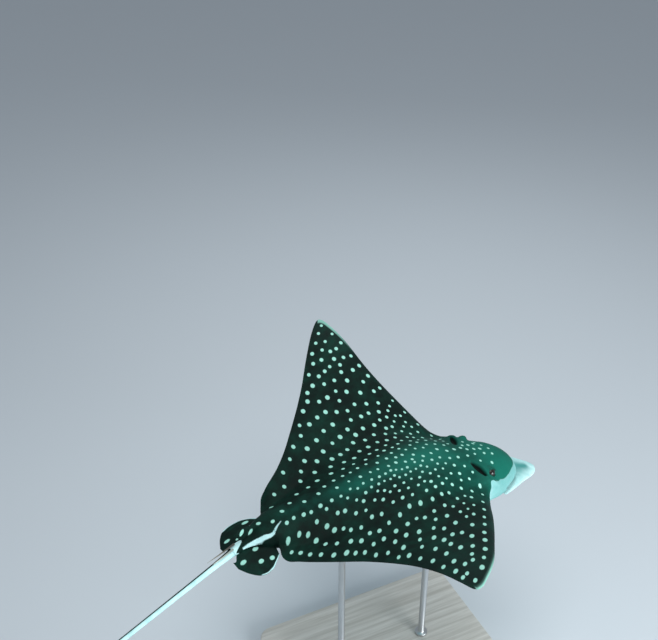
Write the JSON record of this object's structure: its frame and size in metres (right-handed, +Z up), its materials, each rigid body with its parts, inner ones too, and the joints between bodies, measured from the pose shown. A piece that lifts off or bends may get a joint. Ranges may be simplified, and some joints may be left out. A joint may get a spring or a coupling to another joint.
{
  "type": "spotted eagle ray model on a display stand",
  "caption": "Life-size spotted eagle ray, wings raised in a slow stroke and long whip tail trailing, held level on two rods over a flat base.",
  "frame": {"origin": "middle of the stand base's underside, on the floor", "axes": "+Z up; the ray faces -Y with its tail towards +Y, and its left wing is on +X"},
  "size_m": [1.3923, 3.4943, 1.0462],
  "materials": {
    "back_skin": "satin",
    "pale_skin": "satin",
    "tail_skin": "satin",
    "eye_gloss": "gloss",
    "spine_bone": "satin",
    "stand_board": "satin",
    "stand_steel": "satin"
  },
  "bodies": {
    "root": {"head": "back_skin", "trunk": "back_skin", "wing_left": "back_skin", "wing_right": "back_skin", "pelvic_fin_left": "back_skin", "pelvic_fin_right": "back_skin", "dorsal_fin": "back_skin", "tail_base": "back_skin", "snout_lobe": "pale_skin", "tail_root": "tail_skin", "tail_middle": "tail_skin", "tail_whip": "tail_skin", "eye_left": "eye_gloss", "eye_right": "eye_gloss", "tail_spine_upper": "spine_bone", "tail_spine_lower": "spine_bone", "stand_base": "stand_board", "stand_rod_front": "stand_steel", "stand_rod_rear": "stand_steel"}
  },
  "joints": []
}
